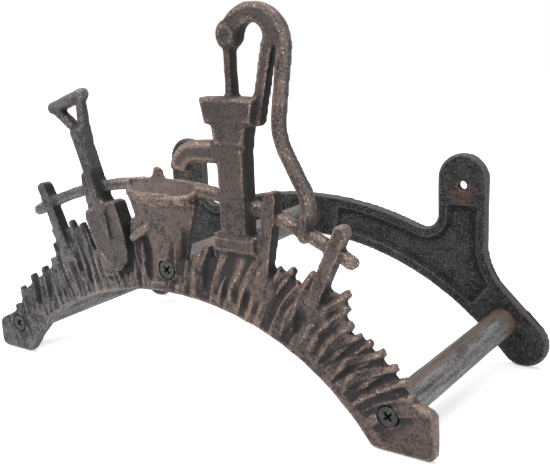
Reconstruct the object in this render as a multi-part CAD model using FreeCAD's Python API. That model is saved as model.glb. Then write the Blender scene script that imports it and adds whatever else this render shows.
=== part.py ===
import FreeCAD
import Part
import math
import os

# Garden hose hanger: an arched wall plate and a figured front plate, both iron castings, held apart by
# three bars. Lengths are millimetres. The work is drawn about the centre of the arch that both plates
# share, with X to the right, Z up and the wall face at Y = 0; the front of the hanger looks along -Y.
# A rise is measured outwards from the arch edge, an angle from the upright through the arch centre
# (positive to the right), and a depth forwards from the flat back of the front plate. On export the
# pieces move so that the origin lies on the wall face, midway between the two ear holes.

# Arch and bars
ARCH_RADIUS = 200.0
BAR_RISE = 15.0
BAR_ANGLE = 44.2
BAR_DIAMETER = 19.0
BAR_LENGTH = 158.5

# Countersunk screws
SCREW_DIAMETER = 6.0
SCREW_LENGTH = 18.0
HEAD_DIAMETER = 11.4
HEAD_SINK = 0.4
SEAT_GAP = 0.05
THREAD_GAP = 0.05
SHANK_GAP = 0.3
TIP_GAP = 2.0
RECESS_SPAN = 6.4
RECESS_WIDTH = 1.4
RECESS_DEPTH = 2.2

# Wall plate
WALL_THICKNESS = 6.0
WALL_CROWN = 31.0
WALL_TOP_RADIUS = 252.0
LOBE_ANGLE = 49.3
LOBE_RADIUS = 16.5
LEG_SLOPE = 44.0
EAR_SPACING = 240.0
EAR_WIDTH = 35.0
EAR_HOLE_RISE = 45.5
EAR_HOLE_DIAMETER = 6.0
EAR_TOP_OVER_HOLE = 21.5
EAR_INNER_FILLET = 10.0
EAR_OUTER_FILLET = 40.0
WALL_EDGE = 1.0
PANEL_RIM = 7.5
PANEL_DEPTH = 2.4
PANEL_UNDER_HOLE = 14.0
PAD_ANGLE = 6.2

# Front plate: rim along the arch, and the two feet
PLATE_DEPTH = 7.0
RIM_HEIGHT = 6.5
RIM_END_ANGLE = 38.5
HEEL_ANGLE = 20.0
HEEL_RADIUS = 150.0
FOOT_DROP = 66.5
FOOT_ROUND = 5.0
LEFT_FOOT_REACH = 172.0
LEFT_FOOT_HEIGHT = 20.0
LEFT_FOOT_TOP_RISE = 22.0
LEFT_FOOT_TOP_ANGLE = 42.0
RIGHT_FOOT_REACH = 177.0
RIGHT_FOOT_HEIGHT = 27.0
RIGHT_FOOT_TOP_RISE = 29.0
RIGHT_FOOT_TOP_ANGLE = 42.5

# Grass: one entry for each main blade as root angle, tip angle and tip rise; a shorter blade fills wide gaps
LEFT_GRASS = (
    (-45.6, -42.6, 27), (-42.0, -38.8, 33), (-38.0, -34.3, 34), (-34.0, -30.7, 33), (-30.4, -27.6, 35),
    (-26.6, -25.4, 43), (-23.4, -24.4, 52), (-20.5, -20.0, 52), (-18.3, -17.8, 48), (-16.4, -17.3, 33),
    (-14.6, -15.6, 29), (-12.6, -13.2, 18), (-10.2, -10.4, 16), (-7.6, -6.6, 43), (-5.8, -4.8, 38),
)
RIGHT_GRASS = (
    (4.6, 5.4, 25), (5.8, 6.8, 33), (7.0, 8.2, 36), (9.2, 10.2, 27), (11.2, 12.0, 26), (13.2, 13.9, 27),
    (15.3, 16.0, 28), (17.4, 18.3, 32), (19.0, 20.2, 41), (20.4, 22.0, 45), (21.8, 23.3, 39),
    (23.6, 24.4, 33), (25.6, 24.8, 50), (27.3, 30.0, 52), (29.0, 30.8, 45), (31.0, 32.4, 38),
    (32.8, 34.3, 36), (34.6, 35.8, 38), (36.6, 37.8, 39), (38.6, 40.2, 38), (40.4, 42.4, 37),
    (42.2, 44.4, 34), (44.2, 46.2, 30),
)
TURF_DEPTH = 4.8
TURF_UNDER_TIP = 4.4
BLADE_ROOT_RISE = 2.8
BLADE_HALF_WIDTH = 4.3
BLADE_TIP_HALF_WIDTH = 2.1
BLADE_BEND = 0.13
BLADE_STEP = 18.0
FILLER_GAP = 2.4
BLADE_PROUD = 1.0
BLADE_ROOT_SINK = 0.15
BLADE_TIP_SINK = 0.9
BLADE_EDGE_DEPTH = 4.4
FILLER_SHARE = 0.84

# Fence: one entry for each post as angle at the rail, lean, root rise, top rise, width and depth
POSTS = (
    (-22.5, -22.5, 34, 83, 8.5, 8.0), (-12.9, -13.0, 10, 80, 13.0, 8.0), (-1.3, -1.3, 10, 78, 9.0, 3.0),
    (17.0, 9.5, 24, 82, 8.5, 8.0), (26.2, 24.0, 32, 84, 8.5, 8.0),
)
RAIL_RISE = 68.0
RAIL_HEIGHT = 7.0
RAIL_DEPTH = 6.8
RAIL_LEFT_ANGLE = -25.4
RAIL_RIGHT_ANGLE = 28.6
EDGE_EASE = 1.2

# Spade
SPADE_ANGLE = -9.7
SPADE_RISE = 13.6
SPADE_LEAN = -19.2
SPADE_BLADE_LENGTH = 44.0
SPADE_BLADE_WIDTH = 30.0
SPADE_BLADE_DEPTH = 11.5
SPADE_DISH = 2.4
SPADE_LIP = 2.6
SPADE_SHOULDER = 5.0
SPADE_SHAFT_WIDTH = 8.6
SPADE_SHAFT_DEPTH = 12.0
SPADE_COLLAR_HEIGHT = 84.0
SPADE_COLLAR_LENGTH = 10.5
SPADE_COLLAR_WIDTH = 12.8
SPADE_COLLAR_DEPTH = 10.6
SPADE_GRIP_HEIGHT = 113.0
SPADE_GRIP_LEFT = 18.2
SPADE_GRIP_RIGHT = 10.2
SPADE_GRIP_WIDTH = 7.8
SPADE_GRIP_DEPTH = 7.6
SPADE_ARM_WIDTH = 5.8

# Bucket
BUCKET_BASE_RISE = 9.0
BUCKET_RIM_RISE = 67.0
BUCKET_BASE_WIDTH = 20.0
BUCKET_RIM_WIDTH = 55.0
BUCKET_BASE_DEPTH = 8.4
BUCKET_RIM_DEPTH = 13.0
BUCKET_MOUTH_HEIGHT = 10.0
BUCKET_LIP = 1.6
BUCKET_BAND = 5.5
BUCKET_HOLLOW = 1.6
BUCKET_BACK_DEPTH = 3.4
BAIL_WIDTH = 5.0
BAIL_DEPTH = 12.2
LUG_WIDTH = 8.5
LUG_DEPTH = 8.4

# Pump
PUMP_ANGLE = 13.4
PUMP_RISE = 38.7
PLINTH_HEIGHT = 11.0
PLINTH_WIDTH = 31.0
PLINTH_DEPTH = 10.4
COLUMN_HEIGHT = 49.5
COLUMN_WIDTH = 21.6
COLUMN_DEPTH = 9.5
NECK_HEIGHT = 13.0
NECK_WIDTH = 25.0
NECK_DEPTH = 9.9
CAP_HEIGHT = 15.0
CAP_WIDTH = 40.0
CAP_DEPTH = 10.6
ROD_WIDTH = 5.8
ROD_DEPTH = 7.0
KNOB_HEIGHT = 33.0
KNOB_DIAMETER = 16.4
KNOB_DEPTH = 8.8
LEVER_WIDTH = 7.4
LEVER_DEPTH = 8.0
HOOK_ACROSS = 16.1
HOOK_DROP = 6.5
HOOK_RADIUS = 23.0
HOOK_WINDOW = 14.6
WINDOW_ACROSS = 0.0
WINDOW_UP = 5.0
HOOK_DEPTH = 7.6
HOOK_EASE = 1.8
LEVER_DROP = 44.5
LEVER_KICK = 18.8
LEVER_TAIL = 20.0
LEVER_KNEE = 33.0
LEVER_HEEL = 20.0
STRUT_WIDTH = 7.2
STRUT_DEPTH = 7.2
SPOUT_WIDTH = 12.6
SPOUT_DEPTH = 9.0
SPOUT_HEIGHT = 57.5
SPOUT_REACH = 26.0
SPOUT_BEND = 14.0
SPOUT_TURN = 82.0

PLATE_BACK_Y = -(WALL_THICKNESS + BAR_LENGTH)
HOLE_HEIGHT = ARCH_RADIUS + EAR_HOLE_RISE
FAR = 2 * ARCH_RADIUS
Vector = FreeCAD.Vector
FORWARD = Vector(0, -1, 0)


def on_arch(rise, angle):
    turn = math.radians(angle)
    reach = ARCH_RADIUS + rise
    return Vector(reach * math.sin(turn), 0, reach * math.cos(turn))


def leaning(foot, lean):
    """Point finder for a thing that stands on foot and leans by an angle: (across, up) to a point."""
    turn = math.radians(lean)
    up = Vector(math.sin(turn), 0, math.cos(turn))
    across = Vector(math.cos(turn), 0, -math.sin(turn))
    return lambda w, h: foot + across * w + up * h


def line(start, end):
    return Part.LineSegment(start, end).toShape()


def arc(start, middle, end):
    return Part.Arc(start, middle, end).toShape()


def polygon(points):
    return Part.makePolygon(list(points) + [points[0]])


def capsule(start, end, width):
    along = Vector(end - start)
    along.normalize()
    cap = along * (width / 2)
    side = Vector(cap.z, 0, -cap.x)
    return Part.Wire([
        line(start + side, end + side),
        arc(end + side, end + cap, end - side),
        line(end - side, start - side),
        arc(start - side, start - cap, start + side),
    ])


def slab(wire, near, far):
    """Solid with the outline of wire, from one depth of the front plate to another."""
    face = Part.Face(wire)
    face.translate(Vector(0, PLATE_BACK_Y - near, 0))
    return face.extrude(FORWARD * (far - near))


def eased(solid, size, sharp=()):
    """The same solid with the edges of its front face bevelled, except those through a point in sharp."""
    front = solid.BoundBox.YMin
    edges = [e for e in solid.Edges if e.BoundBox.YMax < front + 1e-4]
    for point in sharp:
        spot = Part.Vertex(Vector(point.x, front, point.z))
        edges = [e for e in edges if e.distToShape(spot)[0] > 1e-3]
    return solid.makeChamfer(size, edges)


def mirrored(points):
    return [Vector(-p.x, p.y, p.z) for p in reversed(points)]


def corner_edges(solid, corners):
    """Edges of a slab that run from its back to its front at the given corners of its outline."""
    found = []
    for edge in solid.Edges:
        box = edge.BoundBox
        for corner in corners:
            if box.YLength > 1 and abs(box.Center.x - corner.x) + abs(box.Center.z - corner.z) < 0.01:
                found.append(edge)
    return found


def turned(profile, point, start_y, inward):
    """Solid of revolution from (radius, distance) pairs, its axis running along inward from start_y."""
    face = Part.Face(polygon([Vector(radius, 0, reach) for radius, reach in profile]))
    solid = face.revolve(Vector(0, 0, 0), Vector(0, 0, 1), 360)
    solid.rotate(Vector(0, 0, 0), Vector(1, 0, 0), -90 * inward)
    solid.translate(Vector(point.x, start_y, point.z))
    return solid


def bar_points():
    return [on_arch(BAR_RISE, angle) for angle in (-BAR_ANGLE, 0.0, BAR_ANGLE)]


def screw(point, face_y, inward):
    """Countersunk screw with its head just under a plate face; inward is +1 or -1 along Y."""
    head = HEAD_DIAMETER / 2
    shank = SCREW_DIAMETER / 2
    body = turned([
        (0, 0), (head, 0), (shank, head - shank), (shank, SCREW_LENGTH), (0, SCREW_LENGTH),
    ], Vector(0, 0, 0), 0, inward)
    for turn in (45, 135):
        slot = Part.Face(polygon([
            Vector(-RECESS_SPAN / 2, -inward, 0), Vector(RECESS_SPAN / 2, -inward, 0),
            Vector(RECESS_SPAN / 2, 0, 0), Vector(RECESS_WIDTH / 2, inward * RECESS_DEPTH, 0),
            Vector(-RECESS_WIDTH / 2, inward * RECESS_DEPTH, 0), Vector(-RECESS_SPAN / 2, 0, 0),
        ])).extrude(Vector(0, 0, RECESS_WIDTH))
        slot.translate(Vector(0, 0, -RECESS_WIDTH / 2))
        slot.rotate(Vector(0, 0, 0), Vector(0, 1, 0), turn)
        body = body.cut(slot)
    body.translate(Vector(point.x, face_y + inward * HEAD_SINK, point.z))
    return body


def screw_seat(point, face_y, inward, open_height):
    """Cutter for the countersunk hole of a screw; it also clears open_height in front of the face."""
    hole = SCREW_DIAMETER / 2 + SHANK_GAP
    mouth = HEAD_DIAMETER / 2 + SEAT_GAP * math.sqrt(2) + HEAD_SINK
    return turned([
        (0, -open_height), (mouth, -open_height), (mouth, 0), (hole, mouth - hole), (hole, SCREW_LENGTH),
        (0, SCREW_LENGTH),
    ], point, face_y, inward)


def spacer_bar(point):
    length = BAR_LENGTH
    radius = BAR_DIAMETER / 2
    bar = Part.makeCylinder(radius, length, Vector(point.x, PLATE_BACK_Y, point.z), Vector(0, 1, 0))
    thread = SCREW_DIAMETER / 2 + THREAD_GAP
    front_depth = SCREW_LENGTH + HEAD_SINK - PLATE_DEPTH + TIP_GAP
    rear_depth = SCREW_LENGTH + HEAD_SINK - WALL_THICKNESS + TIP_GAP
    for depth, end_y, inward in ((front_depth, PLATE_BACK_Y, 1), (rear_depth, -WALL_THICKNESS, -1)):
        bore = [(0, -1), (thread, -1), (thread, depth), (0, depth)]
        bar = bar.cut(turned(bore, point, end_y, inward))
    return bar


def wall_plate():
    half_width = EAR_WIDTH / 2
    ear_x = EAR_SPACING / 2
    inner_x = ear_x - half_width
    outer_x = ear_x + half_width
    ear_z = HOLE_HEIGHT + EAR_TOP_OVER_HOLE - half_width
    crown = ARCH_RADIUS + WALL_CROWN
    notch = Vector(inner_x, 0, crown - WALL_TOP_RADIUS + math.sqrt(WALL_TOP_RADIUS ** 2 - inner_x ** 2))
    slope = math.radians(LEG_SLOPE)
    lobe = on_arch(LOBE_RADIUS, LOBE_ANGLE)
    touch = lobe + Vector(math.sin(slope), 0, math.cos(slope)) * LOBE_RADIUS
    outer = Vector(outer_x, 0, touch.z + (touch.x - outer_x) * math.tan(slope))
    lobe_turn = math.radians((LEG_SLOPE + LOBE_ANGLE + 180) / 2)
    lobe_far = lobe + Vector(math.sin(lobe_turn), 0, math.cos(lobe_turn)) * LOBE_RADIUS
    end = on_arch(0, LOBE_ANGLE)
    ear_in = Vector(inner_x, 0, ear_z)
    ear_top = Vector(ear_x, 0, ear_z + half_width)
    ear_out = Vector(outer_x, 0, ear_z)
    right = [notch, ear_in, ear_top, ear_out, outer, touch, lobe_far, end]
    edges = [arc(mirrored([notch])[0], Vector(0, 0, crown), notch)]
    edges.append(arc(end, Vector(0, 0, ARCH_RADIUS), mirrored([end])[0]))
    for p in (right, mirrored(right)[::-1]):
        edges.append(line(p[0], p[1]))
        edges.append(arc(p[1], p[2], p[3]))
        edges.append(line(p[3], p[4]))
        edges.append(line(p[4], p[5]))
        edges.append(arc(p[5], p[6], p[7]))
    plate = Part.Face(Part.Wire(Part.__sortEdges__(edges))).extrude(FORWARD * WALL_THICKNESS)
    plate = plate.makeFillet(EAR_INNER_FILLET, corner_edges(plate, [notch] + mirrored([notch])))
    plate = plate.makeFillet(EAR_OUTER_FILLET, corner_edges(plate, [outer] + mirrored([outer])))
    face = [f for f in plate.Faces if f.BoundBox.YMax < -WALL_THICKNESS + 1e-4][0]
    inset = face.makeOffset2D(-PANEL_RIM)
    panel = inset.extrude(Vector(0, PANEL_DEPTH, 0))
    sector = Part.Face(polygon([
        Vector(0, 0, 0), on_arch(FAR, PAD_ANGLE), on_arch(FAR, BAR_ANGLE - PAD_ANGLE),
    ])).extrude(FORWARD * WALL_THICKNESS)
    over = Part.makeBox(FAR, WALL_THICKNESS, FAR, Vector(0, -WALL_THICKNESS, HOLE_HEIGHT - PANEL_UNDER_HOLE))
    right_panel = panel.common(sector).cut(over)
    left_panel = right_panel.mirror(Vector(0, 0, 0), Vector(1, 0, 0))
    plate = eased(plate, WALL_EDGE)
    cutters = [right_panel, left_panel]
    for side in (-1, 1):
        hole = Part.makeCylinder(
            EAR_HOLE_DIAMETER / 2, WALL_THICKNESS + 2, Vector(side * ear_x, 1, HOLE_HEIGHT), FORWARD)
        cutters.append(hole)
    cutters += [screw_seat(point, 0, -1, 1) for point in bar_points()]
    return plate.cut(cutters)


def foot_edges(side, reach, height, top_rise, top_angle):
    """Outline of one foot, from the end of the arch curve round to the rim; side is -1 at the left."""
    bottom = ARCH_RADIUS - FOOT_DROP
    centre = on_arch(-HEEL_RADIUS, side * HEEL_ANGLE)
    heel = Vector(centre.x + side * math.sqrt(HEEL_RADIUS ** 2 - (bottom - centre.z) ** 2), 0, bottom)
    bend = (math.radians(side * HEEL_ANGLE) + math.atan2(heel.x - centre.x, heel.z - centre.z)) / 2
    middle = centre + Vector(math.sin(bend), 0, math.cos(bend)) * HEEL_RADIUS
    toe = Vector(side * reach, 0, bottom)
    shoulder = Vector(side * reach, 0, bottom + height)
    crest = on_arch(top_rise, side * top_angle)
    edges = [
        arc(on_arch(0, side * HEEL_ANGLE), middle, heel), line(heel, toe), line(toe, shoulder),
        line(shoulder, crest), line(crest, on_arch(RIM_HEIGHT, side * RIM_END_ANGLE)),
    ]
    return edges, [heel, toe, shoulder]


def rim_and_feet():
    left, left_corners = foot_edges(
        -1, LEFT_FOOT_REACH, LEFT_FOOT_HEIGHT, LEFT_FOOT_TOP_RISE, LEFT_FOOT_TOP_ANGLE)
    right, right_corners = foot_edges(
        1, RIGHT_FOOT_REACH, RIGHT_FOOT_HEIGHT, RIGHT_FOOT_TOP_RISE, RIGHT_FOOT_TOP_ANGLE)
    lower = arc(on_arch(0, -HEEL_ANGLE), on_arch(0, 0), on_arch(0, HEEL_ANGLE))
    crown = on_arch(RIM_HEIGHT, 0)
    upper = arc(on_arch(RIM_HEIGHT, -RIM_END_ANGLE), crown, on_arch(RIM_HEIGHT, RIM_END_ANGLE))
    outline = Part.Wire(Part.__sortEdges__([lower, upper] + left + right))
    solid = slab(outline, 0, PLATE_DEPTH)
    solid = solid.makeFillet(FOOT_ROUND, corner_edges(solid, left_corners + right_corners))
    return eased(solid, EDGE_EASE, [crown])


def turf():
    """Ground of the grass: it follows the blade tips a little way below them."""
    blades = LEFT_GRASS + RIGHT_GRASS
    top = [on_arch(rise - TURF_UNDER_TIP, tip) for root, tip, rise in blades]
    first = on_arch(RIM_HEIGHT / 2, blades[0][0])
    last = on_arch(RIM_HEIGHT / 2, blades[-1][0])
    edges = [line(p, q) for p, q in zip([first] + top, top + [last])]
    edges.append(arc(last, on_arch(RIM_HEIGHT / 2, 0), first))
    return slab(Part.Wire(edges), 0.3, TURF_DEPTH)


def blade(root, tip, bend, proud, back):
    """One leaf of grass: a ridged, tapering, curved rib rising out of the turf to a blunt tip."""
    chord = tip - root
    steps = max(2, round(chord.Length / BLADE_STEP))
    side = Vector(chord.z, 0, -chord.x)
    control = root + chord * 0.5 + side * bend
    left = []
    ridge = []
    right = []
    for step in range(steps + 1):
        t = step / steps
        centre = root * (1 - t) ** 2 + control * (2 * t * (1 - t)) + tip * t ** 2
        ahead = (control - root) * (1 - t) + (tip - control) * t
        ahead.normalize()
        half = BLADE_TIP_HALF_WIDTH + (BLADE_HALF_WIDTH - BLADE_TIP_HALF_WIDTH) * (1 - t ** 3)
        out = Vector(ahead.z, 0, -ahead.x) * half
        sink = BLADE_ROOT_SINK * (1 - t) ** 2 + BLADE_TIP_SINK * t ** 2
        ridge.append(centre + FORWARD * (PLATE_DEPTH + 4 * t * (1 - t) * proud - sink))
        left.append(centre - out + FORWARD * BLADE_EDGE_DEPTH)
        right.append(centre + out + FORWARD * BLADE_EDGE_DEPTH)
    back_left = [Vector(p.x, -back, p.z) for p in left]
    back_right = [Vector(p.x, -back, p.z) for p in right]
    outlines = [back_left + back_right[::-1]]
    for end in (0, -1):
        outlines.append([back_left[end], left[end], ridge[end], right[end], back_right[end]])
    for i in range(steps):
        outlines.append([back_left[i], back_left[i + 1], left[i + 1], left[i]])
        outlines.append([back_right[i], back_right[i + 1], right[i + 1], right[i]])
        for rim in (left, right):
            outlines.append([rim[i], rim[i + 1], ridge[i + 1]])
            outlines.append([rim[i], ridge[i + 1], ridge[i]])
    solid = Part.makeSolid(Part.makeShell([Part.Face(polygon(o)) for o in outlines]))
    solid.translate(Vector(0, PLATE_BACK_Y, 0))
    return solid


def grass():
    blades = []
    for side, group in ((-1, LEFT_GRASS), (1, RIGHT_GRASS)):
        bend = -side * BLADE_BEND
        for index, (root, tip, rise) in enumerate(group):
            foot = on_arch(BLADE_ROOT_RISE + index % 2, root)
            proud = BLADE_PROUD + 0.35 * (index % 3)
            blades.append(blade(foot, on_arch(rise, tip), bend, proud, 0.5 + 0.2 * (index % 3)))
        for first, second in zip(group, group[1:]):
            if second[0] - first[0] > FILLER_GAP:
                foot = on_arch(BLADE_ROOT_RISE + 0.5, (first[0] + second[0]) / 2)
                end = on_arch(FILLER_SHARE * min(first[2], second[2]), (first[1] + second[1]) / 2)
                blades.append(blade(foot, end, bend, BLADE_PROUD + 0.5, 1.1))
    return blades


def fence():
    pieces = []
    for angle, lean, root_rise, top_rise, width, depth in POSTS:
        at = leaning(on_arch(RAIL_RISE, angle), lean)
        half = width / 2
        low = root_rise - RAIL_RISE
        high = top_rise - RAIL_RISE - half
        stake = Part.Wire([
            line(at(-half, high), at(-half, low)), line(at(-half, low), at(half, low)),
            line(at(half, low), at(half, high)), arc(at(half, high), at(0, high + half), at(-half, high)),
        ])
        pieces.append(slab(stake, 0, depth))
    middle = (RAIL_LEFT_ANGLE + RAIL_RIGHT_ANGLE) / 2
    half = RAIL_HEIGHT / 2
    left, right = RAIL_LEFT_ANGLE, RAIL_RIGHT_ANGLE
    over = half / (ARCH_RADIUS + RAIL_RISE) * 180 / math.pi
    low, high = RAIL_RISE - half, RAIL_RISE + half
    rail = Part.Wire([
        arc(on_arch(low, left), on_arch(low, middle), on_arch(low, right)),
        arc(on_arch(low, right), on_arch(RAIL_RISE, right + over), on_arch(high, right)),
        arc(on_arch(high, right), on_arch(high, middle), on_arch(high, left)),
        arc(on_arch(high, left), on_arch(RAIL_RISE, left - over), on_arch(low, left)),
    ])
    pieces.append(slab(rail, 0.4, RAIL_DEPTH))
    return pieces


def spade():
    at = leaning(on_arch(SPADE_RISE, SPADE_ANGLE), SPADE_LEAN)
    half = SPADE_BLADE_WIDTH / 2
    length = SPADE_BLADE_LENGTH
    curve_end = 0.68 * length
    ellipse = Part.Ellipse(at(0, 0), at(half, curve_end), at(0, curve_end))
    tip = Part.ArcOfEllipse(ellipse, -math.pi / 2, math.pi / 2).toShape()
    ends = [v.Point for v in tip.Vertexes]
    shoulders = [at(-half, length), at(half, length)]
    ends.sort(key=lambda p: (p - shoulders[0]).Length)
    outline = Part.Wire(Part.__sortEdges__([
        tip, line(ends[0], shoulders[0]), line(shoulders[0], shoulders[1]), line(shoulders[1], ends[1]),
    ]))
    leaf = slab(outline, 0, SPADE_BLADE_DEPTH)
    leaf = leaf.makeFillet(SPADE_SHOULDER, corner_edges(leaf, shoulders))
    reach = half - SPADE_LIP
    radius = (reach ** 2 + SPADE_DISH ** 2) / (2 * SPADE_DISH)
    low = at(0, SPADE_LIP) + FORWARD * (SPADE_BLADE_DEPTH + radius - SPADE_DISH - PLATE_BACK_Y)
    leaf = leaf.cut(Part.makeCylinder(radius, length - 2 * SPADE_LIP, low, at(0, 1) - at(0, 0)))
    socket = polygon([
        at(-SPADE_SHAFT_WIDTH * 0.6, length + 2), at(SPADE_SHAFT_WIDTH * 0.6, length + 2),
        at(1.2, length * 0.5), at(-1.2, length * 0.5),
    ])
    collar = SPADE_COLLAR_HEIGHT
    neck = collar + SPADE_COLLAR_LENGTH
    grip = SPADE_GRIP_HEIGHT
    half_collar = SPADE_COLLAR_WIDTH / 2
    shaft = capsule(at(0, length - 4), at(0, collar + 4), SPADE_SHAFT_WIDTH)
    ferrule = polygon([
        at(1 - half_collar, collar), at(half_collar - 1, collar),
        at(half_collar, neck), at(-half_collar, neck),
    ])
    left_end = at(-SPADE_GRIP_LEFT, grip)
    right_end = at(SPADE_GRIP_RIGHT, grip)
    left_arm = capsule(at(-2.5, neck - 2), at(2.5 - SPADE_GRIP_LEFT, grip - 2), SPADE_ARM_WIDTH)
    right_arm = capsule(at(2.5, neck - 2), at(SPADE_GRIP_RIGHT - 2.5, grip - 2), SPADE_ARM_WIDTH)
    return [
        leaf,
        slab(socket, 1, SPADE_BLADE_DEPTH),
        eased(slab(shaft, 0.3, SPADE_SHAFT_DEPTH), 2),
        eased(slab(ferrule, 0.2, SPADE_COLLAR_DEPTH), 2),
        slab(left_arm, 0.6, SPADE_GRIP_DEPTH - 0.8),
        slab(right_arm, 0.6, SPADE_GRIP_DEPTH - 0.8),
        eased(slab(capsule(left_end, right_end, SPADE_GRIP_WIDTH), 0.4, SPADE_GRIP_DEPTH), 2),
    ]


def in_front(y, low):
    """All that lies in front of a plane across the hanger and above a height."""
    return Part.makeBox(2 * FAR, FAR, FAR, Vector(-FAR, y - FAR, low))


def bucket_cone():
    """Cone of the bucket's front, with the stated width and depth at the base and at the rim."""
    base_depth = BUCKET_BASE_DEPTH - BUCKET_BACK_DEPTH
    rim_depth = BUCKET_RIM_DEPTH - BUCKET_BACK_DEPTH
    base_radius = (BUCKET_BASE_WIDTH ** 2 / 4 + base_depth ** 2) / (2 * base_depth)
    rim_radius = (BUCKET_RIM_WIDTH ** 2 / 4 + rim_depth ** 2) / (2 * rim_depth)
    height = BUCKET_RIM_RISE - BUCKET_BASE_RISE
    below = base_radius * height / (rim_radius - base_radius)
    apex_depth = base_depth - (rim_depth - base_depth) * below / height
    tall = below + height
    front = math.atan2(rim_depth - apex_depth, tall)
    back = math.atan2(2 * rim_radius - rim_depth + apex_depth, tall)
    lean = (back - front) / 2
    face_y = PLATE_BACK_Y - BUCKET_BACK_DEPTH
    apex = Vector(0, face_y - apex_depth, ARCH_RADIUS + BUCKET_BASE_RISE - below)
    axis = Vector(0, math.sin(lean), math.cos(lean))
    cone = Part.makeCone(0, 2 * tall * math.tan((front + back) / 2), 2 * tall, apex, axis)
    return cone.common(in_front(face_y, ARCH_RADIUS + BUCKET_BASE_RISE))


def bucket_ring(grow):
    """Upright oval column as wide and deep as the bucket's mouth, enlarged all round by grow."""
    centre = Vector(0, PLATE_BACK_Y - BUCKET_RIM_DEPTH / 2, ARCH_RADIUS)
    oval = Part.Ellipse(centre, BUCKET_RIM_WIDTH / 2 + grow, BUCKET_RIM_DEPTH / 2 + grow)
    tall = BUCKET_RIM_RISE + BUCKET_MOUTH_HEIGHT
    return Part.Face(Part.Wire([oval.toShape()])).extrude(Vector(0, 0, tall))


def under_mouth(drop):
    """Space in front of the plate's back and under the bucket's slanting mouth, lowered by drop."""
    back = ARCH_RADIUS + BUCKET_RIM_RISE - drop + BUCKET_MOUTH_HEIGHT / 2
    reach = 2 * BUCKET_RIM_DEPTH
    front = back - BUCKET_MOUTH_HEIGHT / BUCKET_RIM_DEPTH * reach
    low = ARCH_RADIUS
    side = Part.Face(polygon([
        Vector(0, PLATE_BACK_Y, back), Vector(0, PLATE_BACK_Y, low),
        Vector(0, PLATE_BACK_Y - reach, low), Vector(0, PLATE_BACK_Y - reach, front),
    ]))
    side.translate(Vector(-BUCKET_RIM_WIDTH, 0, 0))
    return side.extrude(Vector(2 * BUCKET_RIM_WIDTH, 0, 0))


def bucket_mouth():
    """Cutter for the hollow that is seen over the rim."""
    return bucket_ring(-BUCKET_LIP).cut(under_mouth(BUCKET_HOLLOW))


def bucket():
    at = leaning(Vector(0, 0, ARCH_RADIUS + BUCKET_BASE_RISE), 0)
    height = BUCKET_RIM_RISE - BUCKET_BASE_RISE
    half_base = BUCKET_BASE_WIDTH / 2
    half_rim = BUCKET_RIM_WIDTH / 2
    wall = polygon([at(-half_base, 0), at(half_base, 0), at(half_rim, height), at(-half_rim, height)])
    body = slab(wall, 0, BUCKET_BACK_DEPTH).fuse(bucket_cone())
    shoulder = in_front(PLATE_BACK_Y, at(0, height - BUCKET_BAND / 2).z)
    core = bucket_ring(-BUCKET_LIP / 2).common(under_mouth(BUCKET_BAND / 2))
    core = core.common(in_front(PLATE_BACK_Y, at(0, height - BUCKET_BAND).z))
    lip = bucket_ring(BUCKET_LIP / 2).common(under_mouth(0)).cut(under_mouth(BUCKET_BAND))
    bail = capsule(at(-21.5, 25), at(-2, 38.5), BAIL_WIDTH)
    lug = capsule(at(-22, 28), at(-20.5, 33), LUG_WIDTH)
    return [
        body.cut(shoulder),
        core,
        lip,
        slab(bail, 1, BAIL_DEPTH),
        slab(lug, 0.7, LUG_DEPTH),
    ]


def pump_block(at, low, high, low_width, high_width, depth, size):
    outline = polygon([
        at(-low_width / 2, low), at(low_width / 2, low), at(high_width / 2, high), at(-high_width / 2, high),
    ])
    return eased(slab(outline, 0, depth), size)


def bent_path(points, radii):
    """Edges through points, each inner corner replaced by a tangent arc of its own radius."""
    edges = []
    start = points[0]
    for before, corner, after, radius in zip(points, points[1:], points[2:], radii):
        back = Vector(before - corner)
        ahead = Vector(after - corner)
        back.normalize()
        ahead.normalize()
        half = back.getAngle(ahead) / 2
        inside = back + ahead
        inside.normalize()
        first = corner + back * (radius / math.tan(half))
        last = corner + ahead * (radius / math.tan(half))
        middle = corner + inside * (radius / math.sin(half) - radius)
        edges.append(line(start, first))
        edges.append(arc(first, middle, last))
        start = last
    edges.append(line(start, points[-1]))
    return edges


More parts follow.
